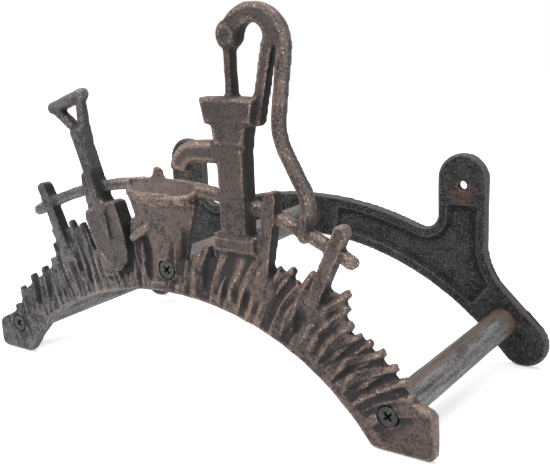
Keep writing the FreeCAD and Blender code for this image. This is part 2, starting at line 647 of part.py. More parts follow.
def pump():
    at = leaning(on_arch(PUMP_RISE, PUMP_ANGLE), 0)
    column = PLINTH_HEIGHT
    neck = column + COLUMN_HEIGHT
    cap = neck + NECK_HEIGHT
    top = cap + CAP_HEIGHT
    knob = top + KNOB_HEIGHT
    pieces = [
        pump_block(at, -24, 1, PLINTH_WIDTH + 8, PLINTH_WIDTH + 4, TURF_DEPTH + 1, EDGE_EASE),
        pump_block(at, 0, column, PLINTH_WIDTH + 3, PLINTH_WIDTH, PLINTH_DEPTH, 2.4),
        pump_block(at, column - 1, neck + 1, COLUMN_WIDTH - 0.8, COLUMN_WIDTH, COLUMN_DEPTH, 2.4),
        pump_block(at, neck, cap + 1, NECK_WIDTH - 2, NECK_WIDTH + 2, NECK_DEPTH, 2.4),
        pump_block(at, cap, top, CAP_WIDTH - 6, CAP_WIDTH, CAP_DEPTH, 2.0),
        pump_block(at, top - 2, knob, ROD_WIDTH, ROD_WIDTH, ROD_DEPTH, EDGE_EASE),
    ]
    disc = Part.Wire([Part.Circle(at(0.6, knob), Vector(0, 1, 0), KNOB_DIAMETER / 2).toShape()])
    pieces.append(eased(slab(disc, 0.3, KNOB_DEPTH), 3))

    middle = at(HOOK_ACROSS, knob - HOOK_DROP)
    window = middle + Vector(WINDOW_ACROSS, 0, WINDOW_UP)
    start = Vector(middle.x - math.sqrt(HOOK_RADIUS ** 2 - WINDOW_UP ** 2), 0, window.z)
    finish = middle + Vector(HOOK_RADIUS, 0, 0)
    half = HOOK_WINDOW / 2
    jamb = window - Vector(half, 0, 0)
    cheek = window + Vector(half, 0, 0)
    sill = Vector(cheek.x, 0, finish.z)
    hook = Part.Wire([
        arc(start, middle + Vector(0, 0, HOOK_RADIUS), finish), line(finish, sill), line(sill, cheek),
        arc(cheek, window + Vector(0, 0, half), jamb), line(jamb, start),
    ])
    pieces.append(eased(slab(hook, 0.4, HOOK_DEPTH), HOOK_EASE))

    lean = math.atan2(LEVER_KICK / 3, LEVER_DROP)
    leave = middle + Vector(math.cos(lean), 0, -math.sin(lean)) * (HOOK_RADIUS - LEVER_WIDTH / 2)
    first = leave + Vector(-math.sin(lean), 0, -math.cos(lean)) * LEVER_DROP
    second = first + Vector(LEVER_KICK, 0, -LEVER_KICK * 1.81)
    last = second + Vector(-LEVER_TAIL / 6, 0, -LEVER_TAIL)
    crown = middle + Vector(math.cos(0.5), 0, math.sin(0.5)) * (HOOK_RADIUS - LEVER_WIDTH / 2)
    bow = middle + Vector(math.cos(0.2), 0, math.sin(0.2)) * (HOOK_RADIUS - LEVER_WIDTH / 2)
    run = bent_path([leave, first, second, last], [LEVER_KNEE, LEVER_HEEL])
    path = Part.Wire([arc(crown, bow, leave)] + run)
    stroke = path.makeOffset2D(LEVER_WIDTH / 2, 0, False, False)
    pieces.append(eased(slab(stroke, 0.5, LEVER_DEPTH), 2))
    strut = capsule(at(CAP_WIDTH / 2 - 2.5, cap + 3), at(26.5, knob - 5), STRUT_WIDTH)
    pieces.append(slab(strut, 0.8, STRUT_DEPTH))

    half = SPOUT_WIDTH / 2
    inner = SPOUT_BEND - half
    outer = SPOUT_BEND + half
    turn = at(-SPOUT_REACH, SPOUT_HEIGHT - SPOUT_BEND)
    lip = Vector(-math.sin(math.radians(SPOUT_TURN)), 0, math.cos(math.radians(SPOUT_TURN)))
    half_way = Vector(-math.sin(math.radians(SPOUT_TURN / 2)), 0, math.cos(math.radians(SPOUT_TURN / 2)))
    up = Vector(0, 0, 1)
    spout = Part.Wire([
        line(at(0, SPOUT_HEIGHT + half), turn + up * outer),
        arc(turn + up * outer, turn + half_way * outer, turn + lip * outer),
        line(turn + lip * outer, turn + lip * inner),
        arc(turn + lip * inner, turn + half_way * inner, turn + up * inner),
        line(turn + up * inner, at(0, SPOUT_HEIGHT - half)),
        line(at(0, SPOUT_HEIGHT - half), at(0, SPOUT_HEIGHT + half)),
    ])
    pieces.append(eased(slab(spout, 0.5, SPOUT_DEPTH), 2))
    return pieces


def front_plate():
    figures = fence() + spade() + bucket() + pump()
    plate = rim_and_feet().multiFuse([turf()] + figures + grass())
    face_y = PLATE_BACK_Y - PLATE_DEPTH
    plate = plate.cut([bucket_mouth()] + [screw_seat(point, face_y, 1, 30) for point in bar_points()])
    return plate.removeSplitter()


def save(name, shape):
    placed = shape.copy()
    placed.translate(Vector(0, 0, -HOLE_HEIGHT))
    placed.exportStep("parts/" + name + ".step")


os.makedirs("parts", exist_ok=True)
left, centre, right = bar_points()
save("wall_plate", wall_plate())
save("left_bar", spacer_bar(left))
save("centre_bar", spacer_bar(centre))
save("right_bar", spacer_bar(right))
front_face = PLATE_BACK_Y - PLATE_DEPTH
save("front_screws", Part.makeCompound([screw(point, front_face, 1) for point in bar_points()]))
save("rear_screws", Part.makeCompound([screw(point, 0, -1) for point in bar_points()]))
save("front_plate", front_plate())
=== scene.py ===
import math

import bmesh
import bpy
import numpy as np
from mathutils import Matrix, Vector, noise


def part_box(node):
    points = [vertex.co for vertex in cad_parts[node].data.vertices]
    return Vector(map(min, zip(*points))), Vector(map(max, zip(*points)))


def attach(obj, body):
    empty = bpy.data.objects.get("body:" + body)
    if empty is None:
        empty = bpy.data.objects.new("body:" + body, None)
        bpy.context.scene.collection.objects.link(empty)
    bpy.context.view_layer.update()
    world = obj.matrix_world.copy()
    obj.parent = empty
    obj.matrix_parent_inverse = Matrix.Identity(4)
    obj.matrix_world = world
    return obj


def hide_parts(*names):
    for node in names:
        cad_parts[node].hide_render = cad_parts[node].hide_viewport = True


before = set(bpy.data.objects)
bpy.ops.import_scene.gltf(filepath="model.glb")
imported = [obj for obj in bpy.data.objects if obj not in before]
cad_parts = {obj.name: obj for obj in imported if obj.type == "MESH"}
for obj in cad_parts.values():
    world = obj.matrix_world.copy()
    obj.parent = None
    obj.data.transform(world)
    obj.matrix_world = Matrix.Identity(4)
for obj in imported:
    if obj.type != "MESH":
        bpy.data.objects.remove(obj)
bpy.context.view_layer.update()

# Sizes are metres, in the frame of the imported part: the wall is at Y = 0 and the front looks along -Y.
# A pair of limits says where a thing begins and where it is full, so its first value can be the larger.
MM = 0.001

# Skins: size of the facets, rounds of softening, and length and height of the waves that casting leaves
FRONT_SKIN = {"facet": 1.15 * MM, "rounds": 4, "wave": 9 * MM, "height": 0.3 * MM}
WALL_SKIN = {"facet": 1.2 * MM, "rounds": 3, "wave": 12 * MM, "height": 0.2 * MM}
BAR_SKIN = {"facet": 1.0 * MM, "rounds": 3, "wave": 14 * MM, "height": 0.15 * MM}
SAME_POINT = 0.001 * MM
SOFTEN_IN = 0.5
SOFTEN_OUT = 0.52

# Bare edges: rounds over which the form around a point is averaged, and how far a bare edge stands out of it
EDGE_ROUNDS = 5
EDGE_RISE = 0.28 * MM

# Screws: how many a node has, the ring kept open round a head, the edge of the painted shadow in it, and
# where painted shade fills a cross
SCREW_COUNT = 3
SCREW_POCKET = 6.3 * MM
POCKET_DEPTH = 3.0 * MM
RING_SHADE_EDGE = 6.9 * MM
CROSS_DEPTH = (0.15 * MM, 0.4 * MM)

# Lower edge of the front plate's arch
ARCH_RADIUS = 200 * MM
ARCH_CENTRE_Z = -245.5 * MM

# Grass: how many degrees a blade leans over a height, at angles along the arch
GRASS_HEIGHT = 35 * MM
GRASS_ANGLES = (-45, -30, -24, -10, 5, 20, 30, 45)
GRASS_LEANS = (3.2, 3.0, -0.6, -0.4, 1.0, 1.8, 3.0, 3.6)
GRASS_CURVE = 1.7

# Where the grass lies: above the arch's edge, to each side in degrees, and behind the figures
GRASS_ROOT = (0.8 * MM, 3 * MM)
GRASS_TIP = (50 * MM, 38 * MM)
GRASS_END = (49.5, 45)
GRASS_FACE = (9.6 * MM, 8.8 * MM)

# Grooves between the leaves: widths at two angles, length, depth, and the levels of noise that make them
GROOVE_ANGLES = (-20, 15)
GROOVE_WIDTHS = (2.5 * MM, 4.0 * MM)
GROOVE_LENGTH = 60 * MM
GROOVE_DEPTH = 1.0 * MM
GROOVE_LEVELS = (0.10, -0.2)
GROOVE_SLICE = 0.5

# Feet of the fence posts in X and Z, where they sink into the grass and the grooves keep off
POST_FEET = ((-0.0895, -0.0293), (0.0711, -0.0326), (0.1037, -0.0379))
POST_SINK = (11 * MM, 5 * MM)
POST_SINK_OVER = 3 * MM
POST_ROUNDS = 30
POST_CLEAR = (4 * MM, 10 * MM)

# Bucket's lip: half its width, the heights between which it and the mouth lie, and how softly they end
LIP_REACH = 28 * MM
LIP_LOW = 14 * MM
LIP_HIGH = 33 * MM
LIP_FADE = 3 * MM
LIP_ROUNDS = 10

# Bucket's body: heights of its foot and top, with half its width and its depth at both
BODY_HEIGHTS = (-24 * MM, 12 * MM)
BODY_HALVES = (17 * MM, 26 * MM)
BODY_DEPTHS = (9.4 * MM, 12.4 * MM)
BODY_ROUND = 0.25

# Fuller front of the body: its share, then limits in height, in half widths and in depth
FULL_SHARE = 0.6
FULL_BELOW = (16 * MM, 13 * MM)
FULL_ABOVE = (-20 * MM, -4 * MM)
FULL_WITHIN = (1.15, 1.05)
FULL_OFF_BACK = (0.3 * MM, 1.3 * MM)

# Wider sides of the body: how far, then limits in height, in half widths and from the middle
WIDER = 1.9 * MM
WIDER_BELOW = (15 * MM, 12.5 * MM)
WIDER_OUTSIDE = (0.55, 0.85)
WIDER_WITHIN = (29.5 * MM, 26 * MM)

# Hollows: cells that the front is sampled in, how many count around a point, and how deep a full hollow is
DEPTH_CELL = 1.2 * MM
FRONT_CELLS = 3
WALL_CELLS = 4
FRONT_HOLLOW = 1.3 * MM
WALL_HOLLOW = (0.05 * MM, 0.75 * MM)

# Painted shade of the hollows, over their own dark finish: by the share of front around them, in grooves,
# and less on figures and the lip
HOLLOW_AMID = (0.6, 0.95)
HOLLOW_LEAST = 0.25
GROOVE_SHADE = 0.85
FIGURE_LESS = 0.7
LIP_LESS = 0.8

# Darker figures: by depth, by rise above the arch's edge, and the feet by degrees along the arch
FIGURE_DEPTH = (7.6 * MM, 9 * MM)
FIGURE_RISE = (58 * MM, 72 * MM)
PUMP_RISE = (66 * MM, 95 * MM)
PUMP_MORE = 0.5
FOOT_ANGLE = (45, 49)
FOOT_SHADE = 0.45

# Sides and tops by the way they face, for sides with painted shade and tops with painted highlight; cells
# that stand between a side and the light from the right, for its painted shadow
SIDE_SHADE_FACING = (0.35, 0.75)
TOP_HIGHLIGHT_FACING = (0.4, 0.95)
COVER_CELL = 2 * MM
COVER_CELLS = range(4, 22)
COVER_SOFT = range(-2, 3)

# Rust and brown: round the ear holes, round the bars' ends, along a bar's top and at its end on the wall
EAR_HOLE_X = 120 * MM
RUST_DROP = 5 * MM
EAR_RUST = (14 * MM, 3 * MM)
SEAT_RUST = (18 * MM, 9 * MM)
SEAT_SHADE = 0.7
LINE_FACING = (0.82, 1.0)
LINE_SHADE = 0.8
BAR_END = (-40 * MM, -8 * MM)

# Front iron: sizes of its grains and relief, size and share of its flecks
FRONT_FINE = 0.7 * MM
FRONT_COARSE = 3.0 * MM
FRONT_BROAD = 24 * MM
FRONT_RELIEF = 0.8 * MM
FRONT_FLECKS = (0.85 * MM, 0.18)

# Colours of the front iron, grey on the left and brown on the right
BROWN_RUN = (-100 * MM, 30 * MM)
RUBBED_GREY = (0.130, 0.126, 0.128, 1)
RUBBED_BROWN = (0.122, 0.088, 0.077, 1)
FRONT_CHARCOAL = (0.036, 0.036, 0.038, 1)
FIGURE_DARK = (0.030, 0.029, 0.030, 1)
SIDE_GREY_AND_SHADE = (0.070, 0.069, 0.072, 1)
SIDE_PAINTED_SHADOW = (0.014, 0.014, 0.015, 1)
PIT_BLACK = (0.014, 0.013, 0.014, 1)
HOLLOW_DARK_AND_SHADE = (0.018, 0.018, 0.021, 1)
EDGE_GREY = (0.26, 0.240, 0.230, 1)
EDGE_BRONZE = (0.27, 0.195, 0.155, 1)
BRIGHT_GRAIN_AND_GLINT = (0.80, 0.70, 0.60, 1)

# Wall iron: sizes of its grains and relief, size and share of its flecks, and its colours
WALL_FINE = 0.8 * MM
WALL_COARSE = 5 * MM
WALL_RELIEF = 0.6 * MM
WALL_FLECKS = (0.95 * MM, 0.22)
WALL_BLACK = (0.005, 0.005, 0.005, 1)
WALL_CHARCOAL = (0.052, 0.052, 0.054, 1)
WALL_HOLLOW_SHADE = (0.004, 0.004, 0.004, 1)
WALL_GRAIN_AND_GLINT = (0.26, 0.255, 0.25, 1)
WALL_EDGE = (0.14, 0.125, 0.115, 1)
WALL_RUST = (0.13, 0.070, 0.045, 1)

# Bar iron: sizes of its grain, streaks and relief, the squeeze that draws streaks along Y, and its colours
BAR_FINE = 0.8 * MM
BAR_STREAK = 2 * MM
BAR_RELIEF = 0.4 * MM
BAR_SQUEEZE = (1, 0.12, 1)
BAR_CHARCOAL = (0.050, 0.049, 0.050, 1)
BAR_GREY = (0.232, 0.226, 0.226, 1)
BAR_BROWN = (0.150, 0.088, 0.060, 1)

# Screw steel: sizes of its grain and relief, and its colours
STEEL_FINE = 0.7 * MM
STEEL_RELIEF = 0.12 * MM
STEEL_DARK = (0.030, 0.030, 0.031, 1)
STEEL_GREY = (0.075, 0.075, 0.078, 1)
CROSS_PAINTED_SHADE = (0.003, 0.003, 0.003, 1)

# Textures: features of a noise as a share of its period, radii and softness of flecks, gloss and bump
NOISE_FEATURE = 0.5
FLECK_RADII = (0.15, 0.45)
FLECK_SOFT = 0.02
IRON_SPECULAR = 0.15
BUMP_STRENGTH = 0.7

# Stage: the floor's size, its gap below the hanger, its glow near the hanger and far out, and the light
BLACK = (0, 0, 0, 1)
WHITE = (1, 1, 1, 1)
FLOOR_WHITE = (0.9, 0.9, 0.9, 1)
FLOOR_SIZE = 12
FLOOR_GAP = 0.3 * MM
FLOOR_FAR = (0.35, 1.1)
FLOOR_NEAR_GLOW = 0.55
FLOOR_GLOW = 0.9
SKY_LIGHT = 0.35
WARM_LIGHT = (1, 0.98, 0.96)
WHITE_LIGHT = (1, 1, 1)
LAMP_AIM = Vector((0.0, -0.09, 0.0))

# Camera: place, turn in degrees, lens and shift of the picture
CAMERA_PLACE = Vector((0.3481, -0.5494, 0.1189))
CAMERA_AZIMUTH = 37.76
CAMERA_ELEVATION = 15.01
CAMERA_ROLL = -3.15
CAMERA_LENS = 56.95
CAMERA_SHIFT = (0.0698, 0.0245)
CAMERA_NEAR = 10 * MM


class Value:
    """A shader socket that takes part in Python sums."""

    def __init__(self, tree, socket=None):
        self.tree = tree
        self.socket = socket

    def feed(self, made, inputs):
        """Sets or links a node's inputs, which are given by name or number."""
        for key, value in inputs.items():
            if isinstance(value, Value):
                self.tree.links.new(value.socket, made.inputs[key])
            else:
                made.inputs[key].default_value = value

    def node(self, kind, settings, inputs):
        """New node of a kind; its settings come first, then the values or links of its inputs."""
        made = self.tree.nodes.new(kind)
        for name, value in settings.items():
            setattr(made, name, value)
        self.feed(made, inputs)
        return made

    def out(self, made, key):
        return Value(self.tree, made.outputs[key])

    def math(self, operation, first, second):
        made = self.node("ShaderNodeMath", {"operation": operation}, {0: first, 1: second})
        return self.out(made, 0)

    def __add__(self, other):
        return self.math("ADD", self, other)

    def __radd__(self, other):
        return self.math("ADD", other, self)

    def __sub__(self, other):
        return self.math("SUBTRACT", self, other)

    def __rsub__(self, other):
        return self.math("SUBTRACT", other, self)

    def __mul__(self, other):
        return self.math("MULTIPLY", self, other)

    def __rmul__(self, other):
        return self.math("MULTIPLY", other, self)

    def between(self, low, high):
        """Smooth step from 0 at low to 1 at high."""
        inputs = {"Value": self, "From Min": low, "From Max": high}
        made = self.node("ShaderNodeMapRange", {"interpolation_type": "SMOOTHSTEP"}, inputs)
        return self.out(made, "Result")

    def mix(self, low, high):
        """Colour that runs from low to high as this value runs from 0 to 1."""
        made = self.node("ShaderNodeMix", {"data_type": "RGBA"}, {0: self, 6: low, 7: high})
        return self.out(made, 2)


def first_node(tree, kind):
    return next(n for n in tree.nodes if n.type == kind)


class Iron:
    """A node material with the textures that the iron and steel pieces share."""

    def __init__(self, name):
        self.material = bpy.data.materials.new(name)
        self.material.use_nodes = True
        tree = self.material.node_tree
        self.shader = first_node(tree, "BSDF_PRINCIPLED")
        self.shader.inputs["Specular IOR Level"].default_value = IRON_SPECULAR
        start = Value(tree)
        self.place = start.out(start.node("ShaderNodeTexCoord", {}, {}), "Object")
        split = start.node("ShaderNodeSeparateXYZ", {}, {"Vector": self.place})
        self.x = start.out(split, "X")
        self.y = start.out(split, "Y")

    def grain(self, size, detail=3.0, roughness=0.6, place=None):
        """Noise from 0 to 1 with features of about a size."""
        inputs = {
            "Vector": place or self.place, "Scale": NOISE_FEATURE / size,
            "Detail": detail, "Roughness": roughness,
        }
        return self.place.out(self.place.node("ShaderNodeTexNoise", {}, inputs), 0)

    def flecks(self, size, share):
        """Small bright grains, partly painted glints: 1 on a share of the cells of a size."""
        cells = self.place.node("ShaderNodeTexVoronoi", {}, {"Vector": self.place, "Scale": 1.0 / size})
        near = 1.0 - self.place.out(cells, "Distance").between(*FLECK_RADII)
        split = self.place.node("ShaderNodeSeparateColor", {}, {"Color": self.place.out(cells, "Color")})
        chosen = 1.0 - share
        return near * self.place.out(split, "Red").between(chosen - FLECK_SOFT, chosen + FLECK_SOFT)

    def mask(self, name):
        """Values that were stored for the points of the mesh."""
        return self.place.out(self.place.node("ShaderNodeAttribute", {"attribute_name": name}, {}), "Fac")

    def finish(self, color, roughness, metallic, height, relief):
        inputs = {"Height": height, "Strength": BUMP_STRENGTH, "Distance": relief}
        bump = self.place.node("ShaderNodeBump", {}, inputs)
        self.place.feed(self.shader, {
            "Base Color": color, "Roughness": roughness, "Metallic": metallic,
            "Normal": self.place.out(bump, "Normal"),
        })
        return self.material


def front_iron():
    """Brown rubbed over charcoal: charcoal and painted shade in the hollows, grey sides with painted shade
    and shadow, bronze and bright grains with painted glints on the edges, painted highlight on the tops.
    """
    iron = Iron("front_iron")
    fine = iron.grain(FRONT_FINE, roughness=0.7)
    coarse = iron.grain(FRONT_COARSE)
    broad = iron.grain(FRONT_BROAD, detail=2.0)
    side = iron.mask("side")
    side_shadow = iron.mask("side_shadow")
    right = iron.x.between(*BROWN_RUN)
    rubbed = (broad * 0.6 + coarse * 0.9 + fine * 0.8).between(0.94, 1.22)
    color = (0.05 + rubbed * 0.95).mix(FRONT_CHARCOAL, right.mix(RUBBED_GREY, RUBBED_BROWN))
    color = (iron.mask("figure") * 0.4).mix(color, FIGURE_DARK)
    # Right-facing sides: partly their own unrubbed grey, partly painted shade; darker still as painted
    # shadow where parts to their right block the light.
    color = (side * 0.85).mix(color, side_shadow.mix(SIDE_GREY_AND_SHADE, SIDE_PAINTED_SHADOW))
    pits = 1.0 - fine.between(0.32, 0.50)
    color = (pits * 0.72).mix(color, PIT_BLACK)
    # Hollows and the rings round the screws go darker: partly the iron's own dark finish, partly painted
    # shade.
    recess_dark_and_shade = (iron.mask("hollow_dark_and_shade") + (0.5 - fine) * 0.4 + (0.5 - coarse) * 0.15).between(0.22, 0.9)
    color = (recess_dark_and_shade * (0.74 + right * 0.14)).mix(color, HOLLOW_DARK_AND_SHADE)
    # Edges get rubbed bronze, tops a painted highlight, and sides in painted shadow get less of it.
    edge_wear_and_highlight = iron.mask("raised") * 0.95 + iron.mask("top") * 0.3 + (fine - 0.5) * 1.4 + (broad - 0.5) * 1.2
    worn = (edge_wear_and_highlight + iron.x * 0.9 - side * side_shadow * 0.6).between(0.5, 1.25)
    color = (worn * 0.42).mix(color, right.mix(EDGE_GREY, EDGE_BRONZE))
    # Bright grains on the worn parts, partly painted glints.
    sparkle = iron.flecks(*FRONT_FLECKS) * (0.04 + worn)
    color = (sparkle * 0.85).mix(color, BRIGHT_GRAIN_AND_GLINT)
    roughness = 0.57 - worn * 0.16 - sparkle * 0.1
    return iron.finish(color, roughness, worn * 0.5 + 0.12, fine + coarse * 0.5, FRONT_RELIEF)


def wall_iron():
    """Charcoal with bright grains and painted glints, painted shade in the hollows and screw rings, and rust
    round the holes.
    """
    iron = Iron("wall_iron")
    fine = iron.grain(WALL_FINE, detail=4.0, roughness=0.75)
    coarse = iron.grain(WALL_COARSE)
    color = (fine + coarse * 0.4).between(0.5, 0.9).mix(WALL_BLACK, WALL_CHARCOAL)
    # Painted shade in the hollows and the rings round the screws.
    color = (iron.mask("hollow_dark_and_shade") * 0.85).mix(color, WALL_HOLLOW_SHADE)
    # Bright grains, partly painted glints.
    color = (iron.flecks(*WALL_FLECKS) * 0.65).mix(color, WALL_GRAIN_AND_GLINT)
    worn = (iron.mask("raised") + (fine - 0.5) * 0.8).between(0.45, 1.1)
    color = (worn * 0.5).mix(color, WALL_EDGE)
    rust = (iron.mask("rust") + (fine - 0.5) * 1.2 + (coarse - 0.5) * 1.8).between(0.5, 1.15)
    color = (rust * 0.55).mix(color, WALL_RUST)
    return iron.finish(color, 0.56 - worn * 0.1, 0.2, fine * 0.9 + coarse * 0.4, WALL_RELIEF)


def bar_iron():
    """Worn grey with streaks along the bar, and brown on top and at the wall."""
    iron = Iron("bar_iron")
    fine = iron.grain(BAR_FINE, detail=4.0, roughness=0.7)
    inputs = {0: iron.place, 1: BAR_SQUEEZE}
    squeezed = iron.place.node("ShaderNodeVectorMath", {"operation": "MULTIPLY"}, inputs)
    streak = iron.grain(BAR_STREAK, place=iron.place.out(squeezed, "Vector"))
    color = (fine * 0.9 + streak * 0.9).between(0.68, 1.12).mix(BAR_CHARCOAL, BAR_GREY)
    rust = (iron.mask("rust") + (fine - 0.5) * 0.6 + (streak - 0.5) * 1.2).between(0.3, 1.0)
    color = (rust * 0.7).mix(color, BAR_BROWN)
    return iron.finish(color, 0.48, 0.35, fine * 0.8, BAR_RELIEF)


def screw_steel():
    """Dark steel, with painted shade in the cross of the head."""
    iron = Iron("screw_steel")
    fine = iron.grain(STEEL_FINE)
    color = fine.between(0.35, 0.7).mix(STEEL_DARK, STEEL_GREY)
    front = iron.y - float(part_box("front_screws")[0][1])
    rear = float(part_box("rear_screws")[1][1]) - iron.y
    # Painted shade in the cross of the head.
    inside = front.between(*CROSS_DEPTH) * rear.between(*CROSS_DEPTH)
    color = inside.mix(color, CROSS_PAINTED_SHADE)
    return iron.finish(color, 0.36, 0.7, fine, STEEL_RELIEF)


def smooth_step(values, low, high):
    t = np.clip((values - low) / (high - low), 0, 1)
    return t * t * (3 - 2 * t)


def neighbour_mean(mesh):
    """Function that averages a row of values for each vertex over the vertex's neighbours."""
    ends = np.empty(2 * len(mesh.edges), np.int64)
    mesh.edges.foreach_get("vertices", ends)
    first, second = ends.reshape(-1, 2).T
    count = len(mesh.vertices)
    degree = np.maximum(np.bincount(first, minlength=count) + np.bincount(second, minlength=count), 1)

    def mean(rows):
        sums = [np.bincount(first, c[second], count) + np.bincount(second, c[first], count) for c in rows.T]
        return np.stack(sums, 1) / degree[:, None]

    return mean


def soften(points, mean, rounds, share=1.0):
    """Smooths a form in place; each round goes towards the neighbours' mean and back, to keep its size."""
    for _ in range(rounds):
        points += SOFTEN_IN * share * (mean(points) - points)
        points -= SOFTEN_OUT * share * (mean(points) - points)


def points_of(mesh):
    points = np.empty(3 * len(mesh.vertices))
    mesh.vertices.foreach_get("co", points)
    return points.reshape(-1, 3)


def normals_of(mesh):
    normals = np.empty(3 * len(mesh.vertices))
    mesh.vertex_normals.foreach_get("vector", normals)
    return normals.reshape(-1, 3)


def set_points(mesh, points):
    mesh.vertices.foreach_set("co", points.ravel())
    mesh.update()


def store(mesh, name, values):
    layer = mesh.attributes.new(name, "FLOAT", "POINT")
    layer.data.foreach_set("value", values.astype(np.float32))


def front_back():
    """Y of the front plate's back, from which its depth counts."""
    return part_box("front_plate")[1][1]


def even_copy(node, facet):
    """New object with the form of a CAD node, its surface made anew from even facets."""
    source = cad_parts[node]
    shape = bmesh.new()
    shape.from_mesh(source.data)
    bmesh.ops.remove_doubles(shape, verts=shape.verts, dist=SAME_POINT)
    mesh = bpy.data.meshes.new(node + "_form")
    shape.to_mesh(mesh)
    shape.free()
    mesh.transform(source.matrix_world)
    piece = bpy.data.objects.new(node + "_casting", mesh)
    bpy.context.scene.collection.objects.link(piece)
    even = piece.modifiers.new("even", "REMESH")
    even.mode = "VOXEL"
    even.voxel_size = facet
    graph = bpy.context.evaluated_depsgraph_get()
    piece.data = bpy.data.meshes.new_from_object(piece.evaluated_get(graph))
    piece.modifiers.clear()
    piece.data.shade_smooth()
    return piece


def cast_piece(node, facet, rounds, wave, height, carve=None):
    """Piece with a CAD node's form, softened and waved as a casting is, that knows where it stands out."""
    piece = even_copy(node, facet)
    mesh = piece.data
    mean = neighbour_mean(mesh)
    points = points_of(mesh)
    soften(points, mean, rounds)
    set_points(mesh, points)
    shift = np.array([noise.noise(Vector(p) / wave) for p in points]) * height
    points += normals_of(mesh) * shift[:, None]
    if carve:
        carve(mesh, points, mean)
    points = np.clip(points, *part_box(node))
    set_points(mesh, points)
    around = points
    for _ in range(EDGE_ROUNDS):
        around = mean(around)
    rise = ((points - around) * normals_of(mesh)).sum(1)
    store(mesh, "raised", np.clip(rise / EDGE_RISE, 0, 1))
    return piece


def cells_of(points, cell):
    """Numbers of the cells, in X and Z, that the points lie in."""
    flat = points[:, [0, 2]]
    return np.floor((flat - flat.min(0)) / cell).astype(int)


def front_depths(points, back, reach):
    """How far each point lies behind the mean front around it, and the share of front that is there."""
    depth = back - points[:, 1]
    spots = cells_of(points, DEPTH_CELL) + reach
    top = np.zeros(spots.max(0) + reach + 1)
    np.maximum.at(top, tuple(spots.T), depth)
    steps = range(-reach, reach + 1)
    shifts = [(a, b) for a in steps for b in steps if a * a + b * b <= reach * reach + 1]
    total = sum(np.roll(top, s, (0, 1)) for s in shifts)
    count = sum(np.roll(top > 0, s, (0, 1)).astype(int) for s in shifts)
    deep = (total / np.maximum(count, 1))[tuple(spots.T)] - depth
    return deep, count[tuple(spots.T)] / len(shifts)


def covered_from_right(points):
    """Share, from 0 to 1, of the front that stands between each point and the light from its right."""
    spots = cells_of(points, COVER_CELL)
    filled = np.zeros(spots.max(0) + (COVER_CELLS.stop + 1, 1))
    filled[tuple(spots.T)] = 1
    side_shadow = np.max([np.roll(filled, -step, 0) for step in COVER_CELLS], axis=0)
    side_shadow = np.mean([np.roll(side_shadow, step, 1) for step in COVER_SOFT], axis=0)
    return side_shadow[tuple(spots.T)]


def around_arch(points):
    """Distance of each point above the arch's lower edge, and its angle along the arch in degrees."""
    up = points[:, 2] - ARCH_CENTRE_Z
    return np.hypot(points[:, 0], up) - ARCH_RADIUS, np.degrees(np.arctan2(points[:, 0], up))


def from_post_feet(points):
    """Distance in X and Z to the nearest foot of a fence post."""
    return np.min([np.hypot(points[:, 0] - x, points[:, 2] - z) for x, z in POST_FEET], axis=0)


def leaf_grooves(points):
    """Share of groove, from 0 to 1, that the run of the blades gives each point of the grass."""
    rise, turn = around_arch(points)
    bend = (np.maximum(rise, 0) / GRASS_HEIGHT) ** GRASS_CURVE
    lean = np.interp(turn, GRASS_ANGLES, GRASS_LEANS) * bend
    across = np.radians(turn - lean) * ARCH_RADIUS
    width = np.interp(turn, GROOVE_ANGLES, GROOVE_WIDTHS)
    spots = zip(across / width, rise / GROOVE_LENGTH)
    streak = np.array([noise.noise(Vector((a, b, GROOVE_SLICE))) for a, b in spots])
    grass = smooth_step(rise, *GRASS_ROOT) * smooth_step(rise, *GRASS_TIP)
    grass *= smooth_step(np.abs(turn), *GRASS_END)
    grass *= smooth_step(front_back() - points[:, 1], *GRASS_FACE)
    return smooth_step(streak, *GROOVE_LEVELS) * grass * smooth_step(from_post_feet(points), *POST_CLEAR)


def bucket_area(points):
    """1 on the bucket and below its rim, fading to 0 around."""
    wide = smooth_step(np.abs(points[:, 0]), LIP_REACH + LIP_FADE, LIP_REACH)
    return wide * smooth_step(points[:, 2], LIP_HIGH + LIP_FADE, LIP_HIGH)


def bucket_lip(points):
    """1 on the lip and mouth of the bucket, fading to 0 around."""
    return bucket_area(points) * smooth_step(points[:, 2], LIP_LOW - LIP_FADE, LIP_LOW)


def fill_bucket(points):
    """Makes the bucket's body a little fuller under its lip, most of all towards its sides."""
    side = np.abs(points[:, 0])
    height = points[:, 2]
    depth = front_back() - points[:, 1]
    across = side / np.interp(height, BODY_HEIGHTS, BODY_HALVES)
    front = np.interp(height, BODY_HEIGHTS, BODY_DEPTHS) * (1 - BODY_ROUND * across ** 2)
    full = smooth_step(height, *FULL_BELOW) * smooth_step(height, *FULL_ABOVE)
    full *= smooth_step(across, *FULL_WITHIN) * smooth_step(depth, *FULL_OFF_BACK)
    points[:, 1] -= FULL_SHARE * full * np.maximum(front - depth, 0)
    wider = smooth_step(height, *BODY_HEIGHTS) * smooth_step(height, *WIDER_BELOW)
    wider *= smooth_step(across, *WIDER_OUTSIDE) * smooth_step(side, *WIDER_WITHIN)
    points[:, 0] += WIDER * wider * np.sign(points[:, 0])


def sink_posts(points, mean):
    """Lets the feet of the fence posts run into the grass."""
    share = smooth_step(from_post_feet(points), *POST_SINK)
    share *= front_back() - points[:, 1] > POST_SINK_OVER
    for _ in range(POST_ROUNDS):
        points[:, 1] += SOFTEN_IN * share * (mean(points)[:, 1] - points[:, 1])


def carve_front(mesh, points, mean):
    """Shapes the bucket and the posts' feet, and cuts the fine grooves of the leaves."""
    fill_bucket(points)
    soften(points, mean, LIP_ROUNDS, bucket_lip(points)[:, None])
    sink_posts(points, mean)
    set_points(mesh, points)
    facing = np.clip(-normals_of(mesh)[:, 1], 0, 1)
    points[:, 1] += GROOVE_DEPTH * facing * leaf_grooves(points)


